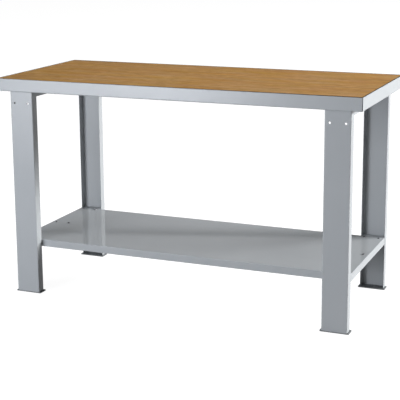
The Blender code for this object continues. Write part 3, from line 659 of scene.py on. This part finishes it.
# %% Read the seats
def seats(start, height, below):
    """The nodes whose names start so, and the seat of each: a head's height from its low or its high end."""
    names = [name for name in nodes if name.startswith(start)]
    points = []
    for name in names:
        low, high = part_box(name)
        seat = low.z + height if below else high.z - height
        points.append(((low.x + high.x) / 2, (low.y + high.y) / 2, seat))
    print(start, "has", len(names), "seats, the first at", [round(side / MM, 1) for side in points[0]])
    return names, points


# %% [markdown]
# ### Threads
#
# A thread is a spiral with a small profile swept along it. Real M8 threads are 1.25 mm apart, and the
# profile is a four-sided ring turned on its corner, half sunk in the shank. It costs few faces and catches
# the light as a thread does.

# %% Thread
RIDGE_SHARE = 0.42
RIDGE_SIDES, TURN_STEPS, SHANK_SIDES = 4, 16, 24


def threaded_shank(tree, radius, length, pitch):
    """A shank that goes up from the seat, with a thread round it that stays within the radius."""
    ridge = add(tree, "ShaderNodeMath", {0: pitch, 1: RIDGE_SHARE}, operation="MULTIPLY")
    middle = add(tree, "ShaderNodeMath", {0: radius, 1: ridge}, operation="SUBTRACT")
    climb = add(tree, "ShaderNodeMath", {0: length, 1: pitch}, operation="SUBTRACT")
    turns = add(tree, "ShaderNodeMath", {0: climb, 1: pitch}, operation="DIVIDE")
    spiral = add(tree, "GeometryNodeCurveSpiral",
                 {"Resolution": TURN_STEPS, "Rotations": turns, "Start Radius": middle,
                  "End Radius": middle, "Height": climb})
    upright = add(tree, "GeometryNodeSetCurveNormal", {"Curve": spiral}, mode="Z_UP")
    profile = add(tree, "GeometryNodeCurvePrimitiveCircle", {"Resolution": RIDGE_SIDES, "Radius": ridge},
                  mode="RADIUS")
    thread = add(tree, "GeometryNodeCurveToMesh",
                 {"Curve": upright, "Profile Curve": profile, "Fill Caps": True})
    up = add(tree, "ShaderNodeCombineXYZ", {"Z": ridge})
    thread = add(tree, "GeometryNodeTransform", {"Geometry": thread, "Translation": up})
    core = add(tree, "GeometryNodeMeshCylinder",
               {"Vertices": SHANK_SIDES, "Radius": middle, "Depth": length})
    half = add(tree, "ShaderNodeMath", {0: length, 1: 0.5}, operation="MULTIPLY")
    up = add(tree, "ShaderNodeCombineXYZ", {"Z": half})
    core = add(tree, "GeometryNodeTransform", {"Geometry": core, "Translation": up})
    shank = add(tree, "GeometryNodeJoinGeometry", {"Geometry": thread})
    tree.links.new(core.outputs[0], shank.inputs["Geometry"])
    return shank


# %% [markdown]
# ### Hexagon bolts and nuts
#
# The eight M8 bolts hold the worktop on the two leg frames. A hexagon head is a hexagon bar whose corners
# are turned off by a cone, which leaves a curved edge on each flat. The tree makes it the same way: a
# six-sided prism cut by a cone whose side leans 60 degrees from its axis, or by two for a nut. The cone
# reaches past both ends of the prism, because a Boolean goes wrong where two faces lie in one plane.

# %% A hexagon
CONE_SLOPE = math.tan(math.radians(60))
CONE_OVER, CONE_UNDER = 0.4, 0.5
CONE_SIDES = 36
TURNED_SHARE = 0.475
HEX_SIDES = 6
CORNER_SHARE = 1 / math.sqrt(3)  # a hexagon's corner radius, as a share of its width across flats


def hexagon(tree, across_flats, height, both_ends):
    """A hexagon from z = 0 up to its height, with its corners turned off at the top, or at both ends."""
    corner = add(tree, "ShaderNodeMath", {0: across_flats, 1: CORNER_SHARE}, operation="MULTIPLY")
    half = add(tree, "ShaderNodeMath", {0: height, 1: 0.5}, operation="MULTIPLY")
    middle = add(tree, "ShaderNodeCombineXYZ", {"Z": half})
    prism = add(tree, "GeometryNodeMeshCylinder",
                {"Vertices": HEX_SIDES, "Radius": corner, "Depth": height})
    prism = add(tree, "GeometryNodeTransform",
                {"Geometry": prism, "Translation": middle, "Rotation": (0, 0, math.pi / HEX_SIDES)})
    turned = add(tree, "ShaderNodeMath", {0: across_flats, 1: TURNED_SHARE}, operation="MULTIPLY")
    drawn_in = add(tree, "ShaderNodeMath", {0: height, 1: CONE_OVER * CONE_SLOPE},
                   operation="MULTIPLY")
    narrow = add(tree, "ShaderNodeMath", {0: turned, 1: drawn_in}, operation="SUBTRACT")
    let_out = add(tree, "ShaderNodeMath", {0: height, 1: (1 + CONE_UNDER) * CONE_SLOPE},
                  operation="MULTIPLY")
    wide = add(tree, "ShaderNodeMath", {0: turned, 1: let_out}, operation="ADD")
    tall = add(tree, "ShaderNodeMath", {0: height, 1: 1 + CONE_OVER + CONE_UNDER}, operation="MULTIPLY")
    cone = add(tree, "GeometryNodeMeshCone",
               {"Vertices": CONE_SIDES, "Radius Top": narrow, "Radius Bottom": wide, "Depth": tall})
    low = add(tree, "ShaderNodeMath", {0: height, 1: -CONE_UNDER}, operation="MULTIPLY")
    base = add(tree, "ShaderNodeCombineXYZ", {"Z": low})
    cones = [add(tree, "GeometryNodeTransform", {"Geometry": cone, "Translation": base})]
    if both_ends:
        high = add(tree, "ShaderNodeMath", {0: height, 1: low}, operation="SUBTRACT")
        base = add(tree, "ShaderNodeCombineXYZ", {"Z": high})
        cones.append(add(tree, "GeometryNodeTransform",
                         {"Geometry": cone, "Translation": base, "Rotation": (math.pi, 0, 0)}))
    cut = add(tree, "GeometryNodeMeshBoolean", {"Mesh 2": prism}, operation="INTERSECT", solver="EXACT")
    for cone in cones:
        tree.links.new(cone.outputs[0], cut.inputs["Mesh 2"])
    return cut


# %% Hexagon bolts
BOLT = {"Across flats": 13 * MM, "Head height": 5.3 * MM, "Radius": 4 * MM, "Length": 16 * MM,
        "Pitch": 1.25 * MM}
tree, size = start_tree("hexagon bolt", BOLT)
head = hexagon(tree, size["Across flats"], size["Head height"], False)
head = add(tree, "GeometryNodeTransform", {"Geometry": head, "Rotation": (math.pi, 0, 0)})
shank = threaded_shank(tree, size["Radius"], size["Length"], size["Pitch"])
bolt = add(tree, "GeometryNodeJoinGeometry", {"Geometry": head})
tree.links.new(shank.outputs[0], bolt.inputs["Geometry"])
placed = add(tree, "GeometryNodeInstanceOnPoints", {"Points": size["Places"], "Instance": bolt})
finish_tree(tree, placed, zinc)
names, points = seats("top_bolt", BOLT["Head height"], True)
grown("top_bolts", tree, BOLT, points, [], names)

# %% Hexagon nuts
NUT = {"Across flats": 13 * MM, "Height": 6.5 * MM, "Bore": 8.2 * MM}
BORE_REACH = 4.0  # the cutter's length over the nut's height, so that it passes both faces
tree, size = start_tree("hexagon nut", NUT)
body = hexagon(tree, size["Across flats"], size["Height"], True)
radius = add(tree, "ShaderNodeMath", {0: size["Bore"], 1: 0.5}, operation="MULTIPLY")
through = add(tree, "ShaderNodeMath", {0: size["Height"], 1: BORE_REACH}, operation="MULTIPLY")
bore = add(tree, "GeometryNodeMeshCylinder", {"Vertices": SHANK_SIDES, "Radius": radius, "Depth": through})
nut = add(tree, "GeometryNodeMeshBoolean", {"Mesh 1": body, "Mesh 2": bore}, operation="DIFFERENCE",
          solver="EXACT")
placed = add(tree, "GeometryNodeInstanceOnPoints", {"Points": size["Places"], "Instance": nut})
finish_tree(tree, placed, zinc)
names, points = seats("top_nut", 0, True)
grown("top_nuts", tree, NUT, points, [], names)

# %% [markdown]
# ### Button-head screws
#
# The shelf is held by twelve blackened M6 screws with low domed heads and a hexagon socket, and the board
# by eight zinc-plated wood screws from below with the same kind of head. The dome starts as a cylinder with
# a few rings, and each ring is drawn in as a circle would be: at a share h of the height it keeps
# sqrt(1 - (0.8 h)^2) of its radius. A six-sided prism then cuts the socket.

# %% A domed head with a socket
DOME = 0.8
DOME_RINGS, HEAD_SIDES = 6, 32
SOCKET_DEPTH = 0.6


def button_head(tree, radius, height, across):
    """A dome on z = 0 with a hexagon socket in its top."""
    blank = add(tree, "GeometryNodeMeshCylinder",
                {"Vertices": HEAD_SIDES, "Side Segments": DOME_RINGS, "Radius": radius, "Depth": height})
    spot = add(tree, "GeometryNodeInputPosition")
    x, y, z = add(tree, "ShaderNodeSeparateXYZ", {"Vector": spot}).outputs
    share = add(tree, "ShaderNodeMath", {0: z, 1: height}, operation="DIVIDE")
    up = add(tree, "ShaderNodeMath", {0: share, 1: 0.5}, operation="ADD")
    drawn = add(tree, "ShaderNodeMath", {0: up, 1: DOME}, operation="MULTIPLY")
    square = add(tree, "ShaderNodeMath", {0: drawn, 1: drawn}, operation="MULTIPLY")
    rest = add(tree, "ShaderNodeMath", {0: 1.0, 1: square}, operation="SUBTRACT")
    keep = add(tree, "ShaderNodeMath", {0: rest}, operation="SQRT")
    x = add(tree, "ShaderNodeMath", {0: x, 1: keep}, operation="MULTIPLY")
    y = add(tree, "ShaderNodeMath", {0: y, 1: keep}, operation="MULTIPLY")
    z = add(tree, "ShaderNodeMath", {0: up, 1: height}, operation="MULTIPLY")
    moved = add(tree, "ShaderNodeCombineXYZ", {"X": x, "Y": y, "Z": z})
    dome = add(tree, "GeometryNodeSetPosition", {"Geometry": blank, "Position": moved})
    corner = add(tree, "ShaderNodeMath", {0: across, 1: CORNER_SHARE}, operation="MULTIPLY")
    deep = add(tree, "ShaderNodeMath", {0: height, 1: 2 * SOCKET_DEPTH}, operation="MULTIPLY")
    socket = add(tree, "GeometryNodeMeshCylinder",
                 {"Vertices": HEX_SIDES, "Radius": corner, "Depth": deep})
    top = add(tree, "ShaderNodeCombineXYZ", {"Z": height})
    socket = add(tree, "GeometryNodeTransform", {"Geometry": socket, "Translation": top})
    return add(tree, "GeometryNodeMeshBoolean", {"Mesh 1": dome, "Mesh 2": socket},
               operation="DIFFERENCE", solver="EXACT")


# %% The screw's tree
SCREW_SIZES = ("Head radius", "Head height", "Socket", "Radius", "Length", "Pitch", "Flip")


def button_head_tree(name, material):
    """A domed screw that hangs down from its seat, or stands up from it where Flip is half a turn."""
    tree, size = start_tree(name, SCREW_SIZES)
    head = button_head(tree, size["Head radius"], size["Head height"], size["Socket"])
    shank = threaded_shank(tree, size["Radius"], size["Length"], size["Pitch"])
    hung = add(tree, "GeometryNodeTransform", {"Geometry": shank, "Rotation": (math.pi, 0, 0)})
    screw = add(tree, "GeometryNodeJoinGeometry", {"Geometry": head})
    tree.links.new(hung.outputs[0], screw.inputs["Geometry"])
    flip = add(tree, "ShaderNodeCombineXYZ", {"X": size["Flip"]})
    placed = add(tree, "GeometryNodeInstanceOnPoints",
                 {"Points": size["Places"], "Instance": screw, "Rotation": flip})
    finish_tree(tree, placed, material)
    return tree


# %% The shelf's screws
SHELF_SCREW = dict(zip(SCREW_SIZES, (5.5 * MM, 3.2 * MM, 4 * MM, 3 * MM, 14 * MM, 1.0 * MM, 0)))
names, points = seats("shelf_screw", SHELF_SCREW["Head height"], False)
tree = button_head_tree("button-head screw, blackened", blackened)
grown("shelf_screws", tree, SHELF_SCREW, points, [], names)

# %% The board's screws
BOARD_HEAD = 3 * MM
names, points = seats("board_screw", BOARD_HEAD, True)
low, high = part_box(names[0])
reach = high.z - low.z - BOARD_HEAD
board_sizes = (4.5 * MM, BOARD_HEAD, 3 * MM, 2.25 * MM, reach, 2.0 * MM, math.pi)
BOARD_SCREW = dict(zip(SCREW_SIZES, board_sizes))
tree = button_head_tree("button-head wood screw, zinc", zinc)
grown("board_screws", tree, BOARD_SCREW, points, [], names)

# %% [markdown]
# ## Weld beads
#
# The frame is welded before it is painted: short stitches hold each leg to its foot plate and to the bearer
# across its top, the rails at their mitred corners, and the cross members to the rails. A bead laid by hand
# is a row of small overlapping scales, one for each move of the torch. A Geometry Nodes tree lays them: it
# walks along each edge of a mesh of short lines, and drops a flattened ball at every step, each a little
# larger or smaller than the last. The paint covers the beads, so they get the paint of the frame.

# %% Welds inside the legs
SHEET = 2 * MM
WEB_STITCH = (16 * MM, 40 * MM)
FLANGE_STITCH = (12 * MM, 30 * MM)
FLANGE_INSIDE, BEARER_SEAM = 48 * MM, 48.2 * MM


def leg_welds(side, row):
    """Stitches inside one leg: four at its foot plate, and two at the top bearer, on its flanges' ends."""
    low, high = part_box(f"leg_{row}_{side}")
    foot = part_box(f"foot_plate_{row}_{side}")[1].z
    bearer_low, bearer_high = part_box(f"top_bearer_{side}")
    inwards = 1 if row == "front" else -1
    web, flange_end = (low.y, high.y) if row == "front" else (high.y, low.y)
    inner_web = web + inwards * SHEET
    middle = (low.x + high.x) / 2
    lines = []
    for sign in (-1, 1):
        start, end = (sign * out for out in WEB_STITCH[::sign])
        lines.append(((middle + start, inner_web, foot), (middle + end, inner_web, foot)))
    for sign in (-1, 1):
        inner, outer = middle + sign * FLANGE_INSIDE, middle + sign * BEARER_SEAM
        start, end = (web + inwards * out for out in FLANGE_STITCH)
        lines.append(((inner, start, foot), (inner, end, foot)))
        bottom, top = bearer_low.z + SHEET, bearer_high.z - SHEET
        lines.append(((outer, flange_end, bottom), (outer, flange_end, top)))
    return lines


# %% Welds under the rim
CORNER_STITCH = (8 * MM, 36 * MM)
MEMBER_STITCH = (2 * MM, 12 * MM)
MEMBER_INSET, MEMBER_SINK = 60 * MM, 0.6 * MM


def rim_welds():
    """A stitch under each mitred corner of the rim, and two at each end of every cross member."""
    low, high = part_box("rim_rail_front")
    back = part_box("rim_rail_back")[1].y
    lines = []
    for x, to_x in ((low.x, 1), (high.x, -1)):
        for y, to_y in ((low.y, 1), (back, -1)):
            start, end = ((x + to_x * out, y + to_y * out, low.z) for out in CORNER_STITCH)
            lines.append((start, end))
    near, far = MEMBER_STITCH
    for name in nodes:
        if name.startswith("worktop_cross_member"):
            member_low, member_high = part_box(name)
            z = member_low.z - MEMBER_SINK
            for y in (low.y + MEMBER_INSET, back - MEMBER_INSET):
                lines.append(((member_low.x + near, y, z), (member_low.x + far, y, z)))
                lines.append(((member_high.x - far, y, z), (member_high.x - near, y, z)))
    return lines


lines = rim_welds()
for side in ("left", "right"):
    for row in ("front", "rear"):
        lines += leg_welds(side, row)
print("welds:", len(lines), "stitches,", round(sum(math.dist(a, b) for a, b in lines) / MM), "mm in all")

# %% Lay the beads
WELD = {"Bead radius": 1.8 * MM, "Step": 1.5 * MM, "Flatness": 0.62, "Unevenness": 0.12}
WELD_SEED = 7
SCALE_SIDES, SCALE_RINGS = 8, 5
tree, size = start_tree("weld bead", WELD)
curve = add(tree, "GeometryNodeMeshToCurve", {"Mesh": size["Places"]})
steps = add(tree, "GeometryNodeResampleCurve", {"Curve": curve, "Length": size["Step"]}, mode="LENGTH")
along = add(tree, "GeometryNodeInputTangent")
aligned = add(tree, "FunctionNodeAlignRotationToVector", {"Vector": along}, axis="Z")
scale = add(tree, "GeometryNodeMeshUVSphere",
            {"Segments": SCALE_SIDES, "Rings": SCALE_RINGS, "Radius": size["Bead radius"]})
pressed = add(tree, "ShaderNodeCombineXYZ", {"X": 1.0, "Y": 1.0, "Z": size["Flatness"]})
scale = add(tree, "GeometryNodeTransform", {"Geometry": scale, "Scale": pressed})
smaller = add(tree, "ShaderNodeMath", {0: 1.0, 1: size["Unevenness"]}, operation="SUBTRACT")
larger = add(tree, "ShaderNodeMath", {0: 1.0, 1: size["Unevenness"]}, operation="ADD")
uneven = add(tree, "FunctionNodeRandomValue", {2: smaller, 3: larger, "Seed": WELD_SEED},
             data_type="FLOAT")
placed = add(tree, "GeometryNodeInstanceOnPoints",
             {"Points": steps, "Instance": scale, "Rotation": aligned, "Scale": uneven.outputs[1]})
finish_tree(tree, placed, frame_paint)
ends = [end for line in lines for end in line]
edges = [(at, at + 1) for at in range(0, len(ends), 2)]
grown("weld_beads", tree, WELD, ends, edges, ())

# %% Hand over
low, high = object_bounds()
print("visual size in mm:", [round(side / MM, 1) for side in high - low])
